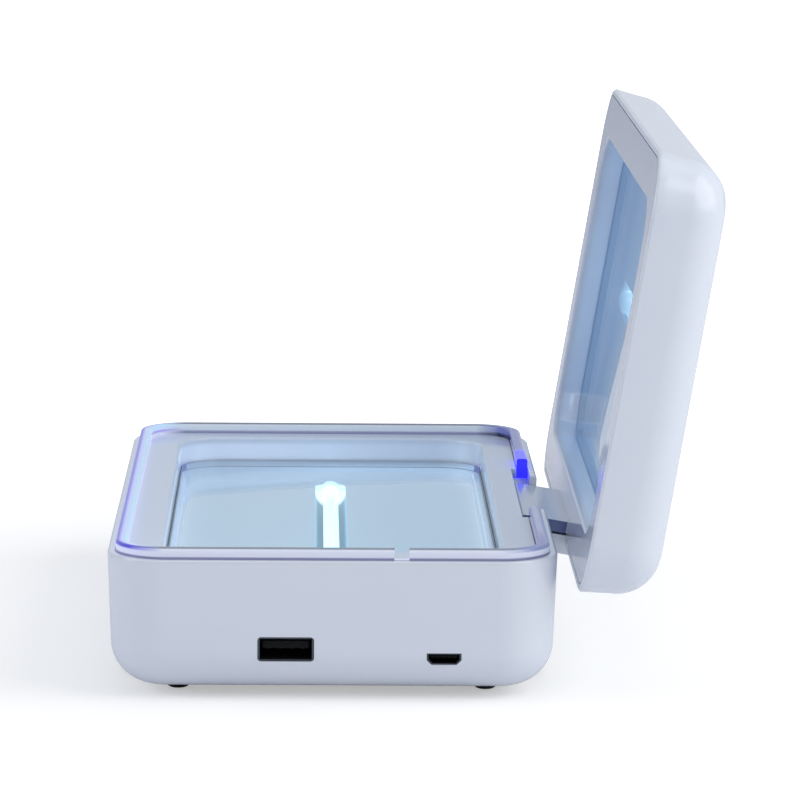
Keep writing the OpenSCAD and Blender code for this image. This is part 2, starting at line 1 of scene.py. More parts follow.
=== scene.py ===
# %% [markdown]
# UV sanitizer box for phones
#
# The object is a moulded white box with a lid on a wide hinge arm. Each half holds a
# compartment with a glass window, and a thin lamp shines behind each window. A clear ring
# stands on the rim of the base and is lit blue from two small light sources by the hinge.
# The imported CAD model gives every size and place. This lesson dresses it: it smooths the
# moulded shells, builds the glass, the lamps and the sockets anew, and gives each surface
# the finish of its real material.

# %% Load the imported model
import json
import math

import bmesh
import bpy
from mathutils import Matrix, Vector


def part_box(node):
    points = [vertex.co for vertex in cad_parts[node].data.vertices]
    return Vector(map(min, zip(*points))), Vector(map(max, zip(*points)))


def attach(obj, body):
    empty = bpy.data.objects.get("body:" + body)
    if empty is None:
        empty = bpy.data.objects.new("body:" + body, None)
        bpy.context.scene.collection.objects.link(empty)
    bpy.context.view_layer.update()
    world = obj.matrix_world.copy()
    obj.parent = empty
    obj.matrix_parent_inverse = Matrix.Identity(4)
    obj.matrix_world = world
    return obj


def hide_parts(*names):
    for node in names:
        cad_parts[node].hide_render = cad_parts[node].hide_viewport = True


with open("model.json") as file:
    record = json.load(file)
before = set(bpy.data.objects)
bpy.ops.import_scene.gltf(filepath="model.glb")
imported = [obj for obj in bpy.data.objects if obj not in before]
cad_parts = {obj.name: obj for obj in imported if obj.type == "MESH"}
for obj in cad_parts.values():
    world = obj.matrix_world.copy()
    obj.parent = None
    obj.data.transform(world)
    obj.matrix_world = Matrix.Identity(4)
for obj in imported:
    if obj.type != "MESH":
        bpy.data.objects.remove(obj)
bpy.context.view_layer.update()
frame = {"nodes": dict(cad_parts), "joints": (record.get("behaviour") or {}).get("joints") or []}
nodes = frame["nodes"]
MM = 0.001
print("CAD nodes:", len(nodes))

# %% [markdown]
# The camera comes first, because everything else is judged through it. The picture was
# taken with a long lens from over a metre away, a little above the rim of the base and
# looking along the hinge. Blender's camera looks along its own -Z, so the three direction
# vectors of the view are written straight into its matrix. That keeps yaw, pitch and roll
# in one place and needs no lens shift.

# %% Camera
CAMERA_PLACE = Vector((1217.98, -5.5, 250.49)) * MM
CAMERA_PITCH = math.radians(8.861)
CAMERA_YAW = math.radians(1.108)
CAMERA_ROLL = math.radians(0.506)
LENS_MM = 208.35


def aim_camera(place, pitch, yaw, roll):
    """Makes the camera that looks along -X, turned by pitch, yaw and roll."""
    ahead = Vector((-math.cos(pitch) * math.cos(yaw), math.cos(pitch) * math.sin(yaw), -math.sin(pitch)))
    level = Vector((math.sin(yaw), math.cos(yaw), 0))
    up = level.cross(ahead)
    right = level * math.cos(roll) + up * math.sin(roll)
    top = up * math.cos(roll) - level * math.sin(roll)
    data = bpy.data.cameras.new("camera")
    data.lens = LENS_MM
    data.sensor_width = 36
    data.clip_start = 0.05
    data.clip_end = 40
    camera = bpy.data.objects.new("camera", data)
    camera.matrix_world = Matrix.Translation(place) @ Matrix((right, top, -ahead)).transposed().to_4x4()
    bpy.context.scene.collection.objects.link(camera)
    bpy.context.scene.camera = camera
    return camera


camera = aim_camera(CAMERA_PLACE, CAMERA_PITCH, CAMERA_YAW, CAMERA_ROLL)
print("camera distance to the box, m:", round(camera.location.length, 3))

# %% [markdown]
# Two helpers serve every material. Colours are picked as sRGB hex codes, as a paint chart
# gives them, but shaders add up light, so one function turns a code into linear values.
# The other adds one node, with its settings and the sockets that feed it, so that each
# material reads as a short list of what it is made of.

# %% Material helpers
def srgb(code):
    """Linear red, green, blue and alpha of an sRGB hex code."""
    parts = [int(code[i:i + 2], 16) / 255 for i in (1, 3, 5)]
    return (*[p / 12.92 if p <= 0.04045 else ((p + 0.055) / 1.055) ** 2.4 for p in parts], 1.0)


def add_node(tree, kind, settings=None, links=None):
    """Adds one shader node, sets its inputs or properties and links its sockets."""
    node = tree.nodes.new("ShaderNode" + kind)
    for key, value in (settings or {}).items():
        if isinstance(key, int) or key in node.inputs:
            node.inputs[key].default_value = value
        else:
            setattr(node, key, value)
    for key, socket in (links or {}).items():
        tree.links.new(socket, node.inputs[key])
    return node


def new_material(name):
    """A material with an empty node tree."""
    material = bpy.data.materials.new(name)
    material.use_nodes = True
    material.node_tree.nodes.clear()
    return material, material.node_tree


def grain_bump(tree, size_mm, height_mm, strength):
    """A bump from fine noise on Object coordinates, for a moulded or cast skin."""
    place = add_node(tree, "TexCoord")
    noise = add_node(tree, "TexNoise", {"Scale": 1 / (size_mm * MM), "Detail": 2.0},
                     {"Vector": place.outputs["Object"]})
    return add_node(tree, "Bump", {"Strength": strength, "Distance": height_mm * MM},
                    {"Height": noise.outputs["Fac"]})


# %% [markdown]
# The lid stands open at an angle, and its glass, lamp and holders lie square to it, not to
# the world. Building them flat and turning them is far easier than building them tilted.
# The frame gives the boxes of the nodes, but not the angle, so the hinge axis and the open
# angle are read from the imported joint, and a matrix carries a half's own space, with
# Z = 0 on its flange, to the base or to the open lid.

# %% Places of the two halves
hinge = next(joint for joint in frame["joints"] if joint["name"] == "lid_hinge")
pin = Vector(hinge["pos_m"])
open_angle = math.radians(hinge["range_deg"][1])
BASE_RIM = 35.8 * MM
LID_FACE = 38.8 * MM
to_base = Matrix.Translation((0, 0, BASE_RIM))
to_lid = (Matrix.Translation(pin) @ Matrix.Rotation(-open_angle, 4, "X") @ Matrix.Translation(-pin)
          @ Matrix.Translation((0, 0, LID_FACE)) @ Matrix.Scale(-1, 4, (0, 0, 1)))
print("lid open, degrees:", round(math.degrees(open_angle), 2))


def own_axes(tree, place):
    """X, Y and Z in a half's own space, from the Object coordinates of a piece."""
    coordinates = add_node(tree, "TexCoord")
    axes = []
    for row in place.inverted()[:3]:
        along = add_node(tree, "VectorMath", {"operation": "DOT_PRODUCT", 1: row[:3]},
                         {0: coordinates.outputs["Object"]})
        axes.append(add_node(tree, "Math", {"operation": "ADD", 1: row[3]},
                             {0: along.outputs["Value"]}).outputs[0])
    return axes


def ease(tree, value, low, high, to_low=0.0, to_high=1.0):
    """Eases from one strength to another between two distances in millimetres."""
    return add_node(tree, "MapRange", {"interpolation_type": "SMOOTHSTEP", "From Min": low * MM,
                    "From Max": high * MM, "To Min": to_low, "To Max": to_high},
                    {"Value": value}).outputs[0]


def calculate(tree, operation, first, second=None):
    """One sum of two sockets or numbers."""
    values, links = {"operation": operation}, {}
    for index, part in enumerate((first, second)):
        if isinstance(part, (int, float)):
            values[index] = float(part)
        elif part is not None:
            links[index] = part
    return add_node(tree, "Math", values, links).outputs[0]


# %% [markdown]
# The housings are injection-moulded ABS, polished in the mould. ABS has an index of about
# 1.54 and looks wet rather than mirror-like, because the skin carries a soft orange peel.
# That waviness is about 2 mm across, so it bends the edges of reflections but never reads
# as grain. Handling leaves a slightly uneven gloss, which a slow noise on the roughness
# gives. The trays are the same plastic in a cooler shade, with a cleaner gloss. The lamps
# shine on them too, more than two thin tubes of a few samples would show without noise, so
# a little of that blue light is added as a glow, by its place in each half's own space.
# The end of the hinge arm stands in the shade between the halves, and in the same way it
# gets a darker blue.

# %% Moulded plastics
SHADE_BLUE = "#5a6a9c"


def moulded_plastic(name, colour, second, rough_low, rough_high, peel, light=None, glow=None,
                    shaded=None):
    """Glossy moulded ABS with a faint orange peel; glow and shaded give their strength by place."""
    material, tree = new_material(name)
    place = add_node(tree, "TexCoord")
    slow = add_node(tree, "TexNoise", {"Scale": 1 / (38 * MM), "Detail": 3.0},
                    {"Vector": place.outputs["Object"]})
    shade = add_node(tree, "MixRGB", {1: srgb(colour), 2: srgb(second)}, {0: slow.outputs["Fac"]})
    gloss = add_node(tree, "MapRange", {"From Min": 0.3, "From Max": 0.7, "To Min": rough_low,
                     "To Max": rough_high}, {"Value": slow.outputs["Fac"]})
    bump = grain_bump(tree, 2.2, 0.02, peel)
    shader = add_node(tree, "BsdfPrincipled", {"IOR": 1.54},
                      {"Base Color": shade.outputs[0], "Roughness": gloss.outputs[0],
                       "Normal": bump.outputs[0]})
    if glow:
        shader.inputs["Emission Color"].default_value = srgb(light)
        tree.links.new(glow(tree), shader.inputs["Emission Strength"])
    if shaded:
        dark = add_node(tree, "MixRGB", {2: srgb(SHADE_BLUE)}, {0: shaded(tree), 1: shade.outputs[0]})
        tree.links.new(dark.outputs[0], shader.inputs["Base Color"])
    add_node(tree, "OutputMaterial", links={"Surface": shader.outputs[0]})
    return material


def base_glow(tree):
    """The lid's lamp lights the walls that face it, and the glass spreads light on its ledge."""
    x, y, z = own_axes(tree, to_base)
    inside = ease(tree, z, -0.6, -2.4)
    across = ease(tree, y, 40, -40, 0.0, 0.14)
    walls = calculate(tree, "ADD", across, ease(tree, x, -80, -86, 0.0, 0.06))
    ledge = ease(tree, z, -6.0, -6.5, 0.0, 0.3)
    return calculate(tree, "MAXIMUM", calculate(tree, "MULTIPLY", walls, inside), ledge)


def lid_glow(tree):
    """The lid's walls take light from their lamp, the flange and the arm none."""
    return ease(tree, own_axes(tree, to_lid)[2], -0.6, -3.0, 0.0, 0.12)


def arm_end(tree):
    """The end face of the hinge arm, which stands in the blue shade of both halves."""
    x, _, z = own_axes(tree, to_lid)
    return calculate(tree, "MULTIPLY", ease(tree, x, 24.2, 24.45), ease(tree, z, 0.1, 0.4))


housing_abs = moulded_plastic("white gloss ABS", "#e5e9ef", "#e0e5ec", 0.2, 0.26, 0.3)
button_abs = moulded_plastic("button ABS", "#eceff4", "#e6e9f0", 0.21, 0.26, 0.3)
tray_abs = moulded_plastic("cool white ABS tray", "#d9e2ee", "#d4deec", 0.12, 0.18, 0.15,
                           "#dbe8ff", base_glow)
# The lid's tray is the same plastic, painted a darker grey-blue as painted shade.
lid_tray_abs = moulded_plastic("lid tray ABS in painted shade", "#c9cfdc", "#c3cad9", 0.1, 0.16, 0.15,
                               "#6fb6f4", lid_glow, arm_end)
print("materials so far:", len(bpy.data.materials))


# %% [markdown]
# Behind each window lies a reflector, a thin pan with a white coating that scatters the
# lamp's light. It is matt, so it takes the blue of the lamp evenly, and a faint painted
# glow over the whole coating stands in for that light. The coating's fine tooth is about
# half a millimetre, drawn a little coarser than real so that it shows. The trough holds
# the lamp, and there the light is uneven and painted: teal beside the tube, where the glass
# of the window takes its red, a darker teal deep down as painted shade, and a painted white
# glow round its far end, which faces the viewer. The lid's coating is painted darker and
# warmer, with less glow, as painted shade.

# %% Reflector coating
def reflector_coating(name, colour, place, painted_glow):
    """Matt coating with a painted glow; low in the trough it is teal, painted darker deep down, and
    painted white by the tube's far end.
    """
    material, tree = new_material(name)
    bump = grain_bump(tree, 0.6, 0.02, 0.5)
    x, _, z = own_axes(tree, place)
    # Painted shade: low in the trough the coating turns teal, and darker the deeper it lies.
    low = add_node(tree, "MixRGB", {1: srgb("#7fb6cc"), 2: srgb("#0f3a4c")},
                   {0: ease(tree, z, -12.6, -14.4)})
    trough = ease(tree, z, -11.85, -12.1)
    paint = add_node(tree, "MixRGB", {1: srgb(colour)}, {0: trough, 2: low.outputs[0]})
    # Painted light: a white glow round the tube's far end, and a faint glow over the whole coating.
    end = calculate(tree, "MULTIPLY", trough, ease(tree, x, -62, -69, 0.0, 1.2))
    shader = add_node(tree, "BsdfPrincipled", {"Roughness": 0.55, "IOR": 1.45,
                      "Emission Color": srgb("#dff4ff")},
                      {"Base Color": paint.outputs[0], "Normal": bump.outputs[0],
                       "Emission Strength": calculate(tree, "ADD", end, painted_glow)})
    add_node(tree, "OutputMaterial", links={"Surface": shader.outputs[0]})
    return material


base_coating = reflector_coating("white reflector coating", "#f0ebf1", to_base, 0.18)
# The lid's copy of the coating is painted darker and warmer, with less glow: painted shade.
lid_coating = reflector_coating("lid reflector coating", "#e6d6d8", to_lid, 0.14)
print("materials so far:", len(bpy.data.materials))

# %% [markdown]
# The windows are float glass with an index of 1.52. A flat pane doesn't bend what is seen
# through it by much, so a clear film with a mirror mixed in by Fresnel looks right and
# lets the lamp light the compartment. The mirror is kept off the back of each face, where
# the Fresnel of an unbent ray would turn the pane opaque. Light that runs inside the pane
# leaves at the ground edge with the green-blue of the glass, so the edge is its own finish.

# %% Window glass
def float_glass(name, tint):
    """Thin clear pane: what is behind it, plus a mirror that grows at a low angle."""
    material, tree = new_material(name)
    clear = add_node(tree, "BsdfTransparent", {"Color": srgb(tint)})
    mirror = add_node(tree, "BsdfGlossy", {"Color": srgb("#e6eef4"), "Roughness": 0.015})
    fresnel = add_node(tree, "Fresnel", {"IOR": 1.52})
    side = add_node(tree, "NewGeometry")
    front = add_node(tree, "Math", {"operation": "SUBTRACT", 0: 1.0}, {1: side.outputs["Backfacing"]})
    share = calculate(tree, "MULTIPLY", fresnel.outputs[0], front.outputs[0])
    mixed = add_node(tree, "MixShader", links={0: share, 1: clear.outputs[0], 2: mirror.outputs[0]})
    add_node(tree, "OutputMaterial", links={"Surface": mixed.outputs[0]})
    return material


def ground_edge(name, colour, second, far):
    """Ground glass edge: two close shades in fine streaks, and a painted glint in a third colour at the
    far corners.
    """
    material, tree = new_material(name)
    place = add_node(tree, "TexCoord")
    streak = add_node(tree, "TexNoise", {"Scale": 1 / (1.2 * MM), "Detail": 2.0},
                      {"Vector": place.outputs["Object"]})
    shade = add_node(tree, "MixRGB", {1: srgb(colour), 2: srgb(second)}, {0: streak.outputs["Fac"]})
    x, y, _ = own_axes(tree, to_base)
    beside = calculate(tree, "ABSOLUTE", y)
    # Painted glint: the far corners of the edge take a third colour.
    corner = calculate(tree, "MULTIPLY", ease(tree, x, -72, -76), ease(tree, beside, 38, 41))
    tint = add_node(tree, "MixRGB", {2: srgb(far)}, {0: corner, 1: shade.outputs[0]})
    shader = add_node(tree, "BsdfPrincipled", {"Roughness": 0.35, "IOR": 1.52,
                      "Specular IOR Level": 0.2}, {"Base Color": tint.outputs[0]})
    add_node(tree, "OutputMaterial", links={"Surface": shader.outputs[0]})
    return material


window_glass = float_glass("clear float glass", "#f4fbfd")
# The base pane's edge gets a deep blue painted glint at its far corners.
glass_edge = ground_edge("ground glass edge", "#042833", "#145262", "#1a24a8")
# The lid's edge is painted the blue-grey of the tray it mirrors: a painted reflection.
lid_glass_edge = ground_edge("lid glass edge", "#8ba5c9", "#93aed0", "#8ba5c9")
print("materials so far:", len(bpy.data.materials))

# %% [markdown]
# Shells come out of the CAD model as loose flat triangles, which would show as facets in
# a glossy skin. The frame's own mesh isn't to be changed, so a copy is welded, shaded
# smooth with its true edges kept sharp, and stands in for the node. Triangles that lie in
# one plane are merged first, so that a weighted normal knows how large each flat wall is
# and keeps its reflections flat right up to the rounded edges.

# %% Smooth copies of moulded parts
def smooth_copy(node_name, body, *materials, angle=32):
    """Welded, smoothly shaded copy of a CAD node that replaces it."""
    mesh = nodes[node_name].data.copy()
    mesh.name = node_name + "_skin"
    mesh.materials.clear()
    for material in materials:
        mesh.materials.append(material)
    bm = bmesh.new()
    bm.from_mesh(mesh)
    bmesh.ops.remove_doubles(bm, verts=bm.verts, dist=0.000002)
    bmesh.ops.dissolve_limit(bm, angle_limit=math.radians(0.3), verts=bm.verts, edges=bm.edges)
    for face in bm.faces:
        face.smooth = True
        face.material_index = 0
    bm.to_mesh(mesh)
    bm.free()
    mesh.set_sharp_from_angle(angle=math.radians(angle))
    piece = bpy.data.objects.new(node_name + "_skin", mesh)
    bpy.context.scene.collection.objects.link(piece)
    weighted = piece.modifiers.new("even normals", "WEIGHTED_NORMAL")
    weighted.keep_sharp = True
    weighted.weight = 60
    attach(piece, body)
    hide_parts(node_name)
    return piece


base_skin = smooth_copy("base_shell", "base", housing_abs)
lid_skin = smooth_copy("lid_shell", "lid", housing_abs)
base_tray_skin = smooth_copy("base_tray", "base", tray_abs)
lid_tray_skin = smooth_copy("lid_tray", "lid", lid_tray_abs)
base_pan = smooth_copy("base_reflector", "base", base_coating)
lid_pan = smooth_copy("lid_reflector", "lid", lid_coating)
print("welded vertices in the base skin:", len(base_skin.data.vertices))

# %% [markdown]
# Every piece that is built anew ends in the same way: a matrix puts its mesh in its half,
# its normals are made to point outwards, and it becomes an object that rides on its body.

# %% Finishing a piece
def finish_piece(name, bm, place, body, materials, replaced=(), smooth=True):
    """Moves a finished bmesh to its place and makes it a piece that rides on a body."""
    bmesh.ops.transform(bm, matrix=place, verts=bm.verts)
    bmesh.ops.recalc_face_normals(bm, faces=bm.faces)
    for face in bm.faces:
        face.smooth = smooth
    mesh = bpy.data.meshes.new(name)
    bm.to_mesh(mesh)
    bm.free()
    mesh.set_sharp_from_angle(angle=math.radians(35))
    for material in materials:
        mesh.materials.append(material)
    piece = bpy.data.objects.new(name, mesh)
    bpy.context.scene.collection.objects.link(piece)
    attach(piece, body)
    if replaced:
        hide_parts(*replaced)
    return piece


# %% [markdown]
# Each window is a pane of 2 mm glass with rounded corners. It could be a cut cube, but a
# grid of one face, with its four corners bevelled into arcs and then extruded, gives clean
# faces. A narrow bevel round both rims is the ground arris that catches the light. Along
# the two long sides one looks down the edge, and it is dark with all the glass behind it.
# Across the two ends one looks through it, so there only the upper arris shows as a thin
# line. The lid's pane is seen almost along its face, where its edge only mirrors the tray.

# %% Windows
def make_window(name, place, body, edge, replaced):
    """Rounded pane with ground edges, set below the flange."""
    length, width, corner, thick, top = 173.8 * MM, 85.0 * MM, 11.9 * MM, 2.0 * MM, -6.25 * MM
    arris, pane_area = 0.45 * MM, 0.001
    bm = bmesh.new()
    bmesh.ops.create_grid(bm, x_segments=1, y_segments=1, size=0.5)
    bmesh.ops.scale(bm, vec=(length, width, 1), verts=bm.verts)
    bmesh.ops.bevel(bm, geom=list(bm.verts), offset=corner, segments=12, profile=0.5,
                    affect="VERTICES", material=-1)
    flat = bmesh.ops.extrude_face_region(bm, geom=list(bm.faces))
    lifted = [v for v in flat["geom"] if isinstance(v, bmesh.types.BMVert)]
    bmesh.ops.translate(bm, vec=(0, 0, -thick), verts=lifted)
    rims = [e for e in bm.edges if len(e.link_faces) == 2
            and abs(e.link_faces[0].normal.z) + abs(e.link_faces[1].normal.z) > 0.5
            and abs(e.verts[0].co.z - e.verts[1].co.z) < 0.00001 and e.calc_face_angle() > 0.8]
    bmesh.ops.bevel(bm, geom=rims, offset=arris, segments=2, profile=0.5,
                    affect="EDGES", material=-1)
    for face in bm.faces:
        across = abs(face.normal.x) > 0.5 and face.calc_center_median().z < -thick / 4
        face.material_index = 0 if face.calc_area() > pane_area or across else 1
    bmesh.ops.translate(bm, vec=(0, 0, top), verts=bm.verts)
    return finish_piece(name, bm, place, body, (window_glass, edge), replaced, smooth=False)


base_pane = make_window("base_window_glass", to_base, "base", glass_edge, ("base_window",))
lid_pane = make_window("lid_window_glass", to_lid, "lid", lid_glass_edge, ("lid_window",))
print("faces of one pane:", len(base_pane.data.polygons))

# %% [markdown]
# Each lamp is a cold-cathode tube 4.2 mm thick, closed by a dome at each end. When lit,
# its coating glows evenly white, and the blue in it shows only on what it lights. The
# tube is a sphere that is pulled apart at its middle: a sphere with an odd number of rows
# has no row on its equator, so its halves part and one long row of faces joins them. The
# ends are darker, because the cathodes sit there, so the last 4 mm fade.

# %% Lamps
LAMP_GLOW = 1.5
TUBE_RADIUS = 2.1 * MM
TUBE_REACH = 73.9 * MM
TUBE_DEPTH = -12.6 * MM


def lit_coating():
    """Glowing coating inside the tube, fading at both ends."""
    material, tree = new_material("lit lamp coating")
    place = add_node(tree, "TexCoord")
    split = add_node(tree, "SeparateXYZ", links={0: place.outputs["Object"]})
    along = add_node(tree, "Math", {"operation": "ABSOLUTE"}, {0: split.outputs["X"]})
    tip = TUBE_REACH + TUBE_RADIUS
    fade = add_node(tree, "MapRange", {"From Min": tip, "From Max": tip - 4 * MM, "To Min": 0.5,
                    "To Max": LAMP_GLOW}, {"Value": along.outputs[0]})
    shader = add_node(tree, "BsdfPrincipled", {"Base Color": srgb("#f4fbff"), "Roughness": 0.12,
                      "IOR": 1.5, "Emission Color": srgb("#bfeaff")},
                      {"Emission Strength": fade.outputs[0]})
    add_node(tree, "OutputMaterial", links={"Surface": shader.outputs[0]})
    return material


def make_lamp(name, place, body, replaced):
    """Tube with domed ends along X, lying in its trough."""
    bm = bmesh.new()
    bmesh.ops.create_uvsphere(bm, u_segments=28, v_segments=17, radius=TUBE_RADIUS)
    bmesh.ops.rotate(bm, cent=(0, 0, 0), matrix=Matrix.Rotation(math.pi / 2, 3, "Y"), verts=bm.verts)
    for side in (-1, 1):
        half = [v for v in bm.verts if v.co.x * side > 0 and abs(v.co.x) < TUBE_RADIUS + 0.1 * MM]
        bmesh.ops.translate(bm, vec=(side * TUBE_REACH, 0, 0), verts=half)
    bmesh.ops.translate(bm, vec=(0, 0, TUBE_DEPTH), verts=bm.verts)
    return finish_piece(name, bm, place, body, (lamp_coating,), replaced)


lamp_coating = lit_coating()
base_lamp = make_lamp("base_lamp_tube", to_base, "base", ("base_lamp",))
lid_lamp = make_lamp("lid_lamp_tube", to_lid, "lid", ("lid_lamp",))
print("lamp length, mm:", round((max(v.co.x for v in base_lamp.data.vertices)
                                 - min(v.co.x for v in base_lamp.data.vertices)) / MM, 1))

# %% [markdown]
# The ring on the rim is cast acrylic, index 1.49, polished all round. Two blue light
# sources shine into its ends by the hinge, and the light runs along the bar and leaks out
# at its edges. The path tracer would need thousands of samples for those fine lines, so a
# colour band across the bar's section paints them. Its place in the band is how far round
# the section a point lies, from the foot of one side, over the top, to the other edge. The
# band differs on the four sides: indigo and cyan along the front, thin grey-violet lines
# at both ends, and plain indigo by the hinge, where the far leg glows pure blue. The far
# corners are indigo at their outer edge, and the foot of the bar is pale all round.

# %% Light ring
RING_STRAIGHT = (85 * MM, 41 * MM)
RING_OUTER = 13 * MM
RING_INNER = 10 * MM
RING_HEIGHT = 2.8 * MM


def colour_band(tree, value, stops):
    """A colour ramp through (place, colour) stops."""
    band = add_node(tree, "ValToRGB", links={"Fac": value})
    points = band.color_ramp.elements
    while len(points) < len(stops):
        points.new(0.5)
    for point, (place, code) in zip(points, stops):
        point.position = place
        point.color = srgb(code)
    return band.outputs["Color"]


# Every colour in these bands is painted: the light lines of the lit bar, and the dark lines and pale
# faces of the clear bar as painted reflections.
FRONT_BAND = ((0.0, "#f4f6ff"), (0.12, "#e4e4fb"), (0.2, "#a79aea"), (0.3, "#dfe8ff"),
              (0.52, "#bfecfb"), (0.76, "#c9cffb"), (0.86, "#8581e6"), (0.93, "#4a45c4"),
              (1.0, "#4a45c4"))
HINGE_BAND = ((0.0, "#171b48"), (0.15, "#1e2356"), (0.24, "#6a73b4"), (0.8, "#747cb8"),
              (0.92, "#98a0c8"), (1.0, "#8a93bc"))
NEAR_BAND = ((0.0, "#8384a2"), (0.08, "#8384a2"), (0.14, "#dde1f0"), (0.44, "#e6e9f5"),
             (0.5, "#d8dcea"), (0.56, "#66727e"), (1.0, "#727f8d"))
FAR_BAND = ((0.0, "#8f93ae"), (0.1, "#989dbb"), (0.18, "#d2dce3"), (0.46, "#d8e0e6"),
            (0.55, "#555b6c"), (1.0, "#606678"))


def lit_acrylic():
    """Polished clear acrylic with painted light lines and painted reflections on its four sides."""
    material, tree = new_material("lit clear acrylic")
    x, y, z = own_axes(tree, to_base)
    end, side = [calculate(tree, "MAXIMUM",
                           calculate(tree, "SUBTRACT", calculate(tree, "ABSOLUTE", axis), straight), 0)
                 for axis, straight in zip((x, y), RING_STRAIGHT)]
    away = add_node(tree, "CombineXYZ", links={0: end, 1: side})
    radius = add_node(tree, "VectorMath", {"operation": "LENGTH"}, {0: away.outputs[0]}).outputs["Value"]
    inward = add_node(tree, "MapRange", {"From Min": RING_OUTER, "From Max": RING_INNER},
                      {"Value": radius}).outputs[0]
    outward = calculate(tree, "SUBTRACT", 1, inward)
    up = add_node(tree, "MapRange", {"From Min": 0.0, "From Max": RING_HEIGHT}, {"Value": z}).outputs[0]
    from_inside = calculate(tree, "MULTIPLY", calculate(tree, "ADD", up, outward), 0.5)
    from_outside = calculate(tree, "MULTIPLY", calculate(tree, "ADD", up, inward), 0.5)
    rear = ease(tree, y, -10, 10)
    sides = add_node(tree, "MixRGB", links={0: rear, 1: colour_band(tree, from_inside, FRONT_BAND),
                     2: colour_band(tree, from_inside, HINGE_BAND)})
    ends = add_node(tree, "MixRGB", links={0: ease(tree, x, -10, 10),
                    1: colour_band(tree, from_inside, FAR_BAND),
                    2: colour_band(tree, from_outside, NEAR_BAND)})
    both = calculate(tree, "ADD", calculate(tree, "ADD", end, side), 0.01 * MM)
    share = calculate(tree, "DIVIDE", end, both)
    turned = add_node(tree, "MapRange", {"From Min": 0.5, "From Max": 0.92}, {"Value": share}).outputs[0]
    bars = add_node(tree, "MixRGB", links={0: turned, 1: sides.outputs[0], 2: ends.outputs[0]})
    # Painted light: the far corners glow indigo at their outer edge, and the foot is painted pale all
    # round.
    bend = calculate(tree, "MULTIPLY", ease(tree, side, 0.5, 5), ease(tree, x, -85.5, -90))
    edge = add_node(tree, "MapRange", {"From Min": 0.82, "From Max": 0.9},
                    {"Value": from_inside}).outputs[0]
    corner = add_node(tree, "MixRGB", {2: srgb("#3f3caa")},
                      {0: calculate(tree, "MULTIPLY", bend, edge), 1: bars.outputs[0]})
    skirt = calculate(tree, "MULTIPLY", ease(tree, z, 2.2, 1.7), ease(tree, radius, 12.8, 12.95))
    bar = add_node(tree, "MixRGB", links={0: skirt, 1: corner.outputs[0],
                   2: colour_band(tree, from_outside, NEAR_BAND)})
    leg = calculate(tree, "MULTIPLY", ease(tree, x, -55, -49), ease(tree, x, -20, -30))
    lit = calculate(tree, "MULTIPLY", leg, ease(tree, y, 40, 44))
    colour = add_node(tree, "MixRGB", {2: srgb("#2b28ff")}, {0: lit, 1: bar.outputs[0]})
    strength = calculate(tree, "ADD", calculate(tree, "MULTIPLY", lit, 0.75), 0.18)
    glass = add_node(tree, "BsdfPrincipled", {"Roughness": 0.04, "IOR": 1.49,
                     "Transmission Weight": 0.15, "Specular IOR Level": 0.35},
                     {"Base Color": colour.outputs[0], "Emission Color": colour.outputs[0],
                      "Emission Strength": strength})
    open_air = add_node(tree, "BsdfTransparent", {"Color": srgb("#f2f3ff")})
    path = add_node(tree, "LightPath")
    mixed = add_node(tree, "MixShader", links={0: path.outputs["Is Shadow Ray"], 1: glass.outputs[0],
                     2: open_air.outputs[0]})
    add_node(tree, "OutputMaterial", links={"Surface": mixed.outputs[0]})
    return material


ring_acrylic = lit_acrylic()
ring_skin = smooth_copy("light_ring", "base", ring_acrylic, angle=40)

# %% [markdown]
# The small parts get the finish of their own materials: nickel-plated steel for screws,
# pin and washers, black rubber with a dull dusty tooth for the feet, and glass-fibre
# board with its green solder resist for the circuit boards. The lamp holders are soft
# milky silicone, and the lamps light them through. Most of the small parts hide inside,
# but an opened or cut model shows them.

# %% Small finishes
def plain_finish(name, colour, second, roughness, metallic=0.0, index=1.5, tooth_mm=0.8, strength=0.2):
    """Two close shades in a fine noise, with a matching tooth."""
    material, tree = new_material(name)
    place = add_node(tree, "TexCoord")
    noise = add_node(tree, "TexNoise", {"Scale": 1 / (tooth_mm * MM), "Detail": 3.0},
                     {"Vector": place.outputs["Object"]})
    shade = add_node(tree, "MixRGB", {1: srgb(colour), 2: srgb(second)}, {0: noise.outputs["Fac"]})
    bump = add_node(tree, "Bump", {"Strength": strength, "Distance": 0.02 * MM},
                    {"Height": noise.outputs["Fac"]})
    shader = add_node(tree, "BsdfPrincipled",
                      {"Roughness": roughness, "Metallic": metallic, "IOR": index},
                      {"Base Color": shade.outputs[0], "Normal": bump.outputs[0]})
    add_node(tree, "OutputMaterial", links={"Surface": shader.outputs[0]})
    return material


nickel = plain_finish("nickel-plated steel", "#c9ccd2", "#b9bdc5", 0.25, metallic=1.0)
# The socket steel is painted dark as painted shade. The black finish is the tongue's nylon, and it lines
# each mouth as painted shade too.
port_steel = plain_finish("dull tinned steel in painted shade", "#5c5f66", "#52555c", 0.4, metallic=1.0)
black_nylon_and_shade = plain_finish("black nylon and painted shade", "#050506", "#09090b", 0.7, index=1.3)
gold = plain_finish("gold-plated contact", "#6b5a2c", "#5d4d24", 0.4, metallic=1.0)
pin_steel = plain_finish("ground steel pin", "#b4b8be", "#a4a8b0", 0.3, metallic=1.0)
foot_rubber = plain_finish("black rubber", "#17181b", "#24262a", 0.6, index=1.52, tooth_mm=0.5,
                           strength=0.6)
solder_resist = plain_finish("green solder resist", "#1c5a34", "#236b3f", 0.3, index=1.55)
black_resin = plain_finish("black potting resin", "#25272c", "#303238", 0.35)
magnet_plate = plain_finish("nickel-plated magnet", "#9fa2a8", "#8f939a", 0.25, metallic=1.0)


